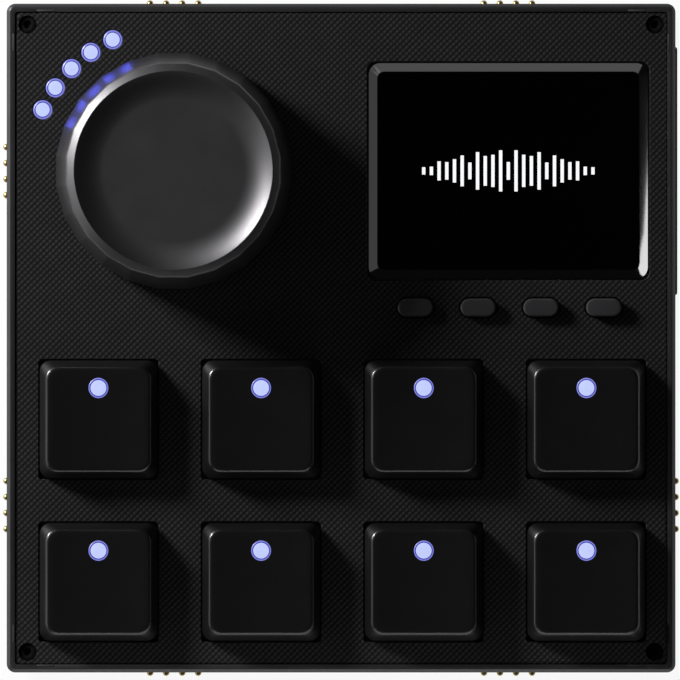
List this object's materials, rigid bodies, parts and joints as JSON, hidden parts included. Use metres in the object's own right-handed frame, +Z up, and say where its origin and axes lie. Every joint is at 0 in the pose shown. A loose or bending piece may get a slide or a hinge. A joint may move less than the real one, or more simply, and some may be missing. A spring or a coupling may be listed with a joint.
{
  "type": "audio workstation controller",
  "caption": "Square desk controller for audio software: lit push keys, a large faceted dial that turns and presses, a small screen with pill buttons, and sprung docking contacts on its sides.",
  "frame": {"origin": "centre of the footprint, on the desk under the feet", "axes": "+X to the user's right, +Y away from the user, +Z up"},
  "size_m": [0.1012, 0.1012, 0.0295],
  "materials": {
    "case": "fine satin black over aluminium",
    "face": "fine diagonal weave, satin",
    "screw": "black oxide",
    "key": "fine moulded grain",
    "light": "clear moulding, lit pale blue",
    "dial": "dark satin anodised",
    "glass": "black gloss",
    "button": "satin",
    "contact": "gold plated",
    "insulator": "moulded black",
    "board": "glass-fibre board, dark mask",
    "stiffener": "anodised sheet",
    "housing": "moulded",
    "stem": "low-friction moulding",
    "spring": "drawn wire",
    "shaft": "turned",
    "magnet": "nickel plated",
    "socket": "plated shell",
    "rubber": "matt"
  },
  "bodies": {
    "case": {"arc_lights": "light", "board_parts": "housing", "button_switches": "housing", "cable_socket": "socket", "case_tray": "case", "dock_blocks": "insulator", "dock_magnets": "magnet", "encoder_body": "housing", "face_plate": "face", "main_board": "board", "rubber_feet": "rubber", "screen_bracket": "housing", "screen_glass": "glass", "screen_panel": "housing", "screen_ribbon": "board", "screws": "screw", "socket_plate": "insulator", "switch_bases": "housing", "switch_covers": "housing", "switch_plate": "stiffener", "switch_springs": "spring"},
    "dial_push": {"encoder_plunger": "housing"},
    "dial": {"dial_shell": "dial", "dial_insert": "housing", "encoder_shaft": "shaft"},
    "key_1": {"key_cap_1": "key", "key_light_1": "light", "switch_stem_1": "stem"},
    "key_2": {"key_cap_2": "key", "key_light_2": "light", "switch_stem_2": "stem"},
    "key_3": {"key_cap_3": "key", "key_light_3": "light", "switch_stem_3": "stem"},
    "key_4": {"key_cap_4": "key", "key_light_4": "light", "switch_stem_4": "stem"},
    "key_5": {"key_cap_5": "key", "key_light_5": "light", "switch_stem_5": "stem"},
    "key_6": {"key_cap_6": "key", "key_light_6": "light", "switch_stem_6": "stem"},
    "key_7": {"key_cap_7": "key", "key_light_7": "light", "switch_stem_7": "stem"},
    "key_8": {"key_cap_8": "key", "key_light_8": "light", "switch_stem_8": "stem"},
    "screen_button_1": {"screen_button_1": "button"},
    "screen_button_2": {"screen_button_2": "button"},
    "screen_button_3": {"screen_button_3": "button"},
    "screen_button_4": {"screen_button_4": "button"},
    "contacts_right_front": {"contacts_right_front": "contact"},
    "contacts_rear_right": {"contacts_rear_right": "contact"},
    "contacts_rear_left": {"contacts_rear_left": "contact"},
    "contacts_left_rear": {"contacts_left_rear": "contact"},
    "contacts_left_front": {"contacts_left_front": "contact"},
    "contacts_front_left": {"contacts_front_left": "contact"},
    "contacts_front_right": {"contacts_front_right": "contact"}
  },
  "joints": [
    {"name": "key_1_press", "type": "slide", "parent": "case", "child": "key_1", "axis": [0, 0, -1], "range_m": [0, 0.003], "stiffness_N_per_m": 80, "springref_m": -0.005, "deforming": ["switch_springs"]},
    {"name": "key_2_press", "type": "slide", "parent": "case", "child": "key_2", "axis": [0, 0, -1], "range_m": [0, 0.003], "stiffness_N_per_m": 80, "springref_m": -0.005, "deforming": ["switch_springs"]},
    {"name": "key_3_press", "type": "slide", "parent": "case", "child": "key_3", "axis": [0, 0, -1], "range_m": [0, 0.003], "stiffness_N_per_m": 80, "springref_m": -0.005, "deforming": ["switch_springs"]},
    {"name": "key_4_press", "type": "slide", "parent": "case", "child": "key_4", "axis": [0, 0, -1], "range_m": [0, 0.003], "stiffness_N_per_m": 80, "springref_m": -0.005, "deforming": ["switch_springs"]},
    {"name": "key_5_press", "type": "slide", "parent": "case", "child": "key_5", "axis": [0, 0, -1], "range_m": [0, 0.003], "stiffness_N_per_m": 80, "springref_m": -0.005, "deforming": ["switch_springs"]},
    {"name": "key_6_press", "type": "slide", "parent": "case", "child": "key_6", "axis": [0, 0, -1], "range_m": [0, 0.003], "stiffness_N_per_m": 80, "springref_m": -0.005, "deforming": ["switch_springs"]},
    {"name": "key_7_press", "type": "slide", "parent": "case", "child": "key_7", "axis": [0, 0, -1], "range_m": [0, 0.003], "stiffness_N_per_m": 80, "springref_m": -0.005, "deforming": ["switch_springs"]},
    {"name": "key_8_press", "type": "slide", "parent": "case", "child": "key_8", "axis": [0, 0, -1], "range_m": [0, 0.003], "stiffness_N_per_m": 80, "springref_m": -0.005, "deforming": ["switch_springs"]},
    {"name": "dial_press", "type": "slide", "parent": "case", "child": "dial_push", "axis": [0, 0, -1], "range_m": [0, 0.0005], "stiffness_N_per_m": 3000, "springref_m": -0.0008},
    {"name": "dial_turn", "type": "hinge", "parent": "dial_push", "child": "dial", "pos_m": [-0.025, 0.025, 0], "axis": [0, 0, 1], "continuous": true},
    {"name": "screen_button_1_press", "type": "slide", "parent": "case", "child": "screen_button_1", "axis": [0, 0, -1], "range_m": [0, 0.0003], "stiffness_N_per_m": 2500, "springref_m": -0.0005},
    {"name": "screen_button_2_press", "type": "slide", "parent": "case", "child": "screen_button_2", "axis": [0, 0, -1], "range_m": [0, 0.0003], "stiffness_N_per_m": 2500, "springref_m": -0.0005},
    {"name": "screen_button_3_press", "type": "slide", "parent": "case", "child": "screen_button_3", "axis": [0, 0, -1], "range_m": [0, 0.0003], "stiffness_N_per_m": 2500, "springref_m": -0.0005},
    {"name": "screen_button_4_press", "type": "slide", "parent": "case", "child": "screen_button_4", "axis": [0, 0, -1], "range_m": [0, 0.0003], "stiffness_N_per_m": 2500, "springref_m": -0.0005},
    {"name": "contacts_right_front_press", "type": "slide", "parent": "case", "child": "contacts_right_front", "axis": [-1, 0, 0], "range_m": [0, 0.0005], "stiffness_N_per_m": 2000, "springref_m": -0.0008},
    {"name": "contacts_rear_right_press", "type": "slide", "parent": "case", "child": "contacts_rear_right", "axis": [0, -1, 0], "range_m": [0, 0.0005], "stiffness_N_per_m": 2000, "springref_m": -0.0008},
    {"name": "contacts_rear_left_press", "type": "slide", "parent": "case", "child": "contacts_rear_left", "axis": [0, -1, 0], "range_m": [0, 0.0005], "stiffness_N_per_m": 2000, "springref_m": -0.0008},
    {"name": "contacts_left_rear_press", "type": "slide", "parent": "case", "child": "contacts_left_rear", "axis": [1, 0, 0], "range_m": [0, 0.0005], "stiffness_N_per_m": 2000, "springref_m": -0.0008},
    {"name": "contacts_left_front_press", "type": "slide", "parent": "case", "child": "contacts_left_front", "axis": [1, 0, 0], "range_m": [0, 0.0005], "stiffness_N_per_m": 2000, "springref_m": -0.0008},
    {"name": "contacts_front_left_press", "type": "slide", "parent": "case", "child": "contacts_front_left", "axis": [0, 1, 0], "range_m": [0, 0.0005], "stiffness_N_per_m": 2000, "springref_m": -0.0008},
    {"name": "contacts_front_right_press", "type": "slide", "parent": "case", "child": "contacts_front_right", "axis": [0, 1, 0], "range_m": [0, 0.0005], "stiffness_N_per_m": 2000, "springref_m": -0.0008}
  ]
}
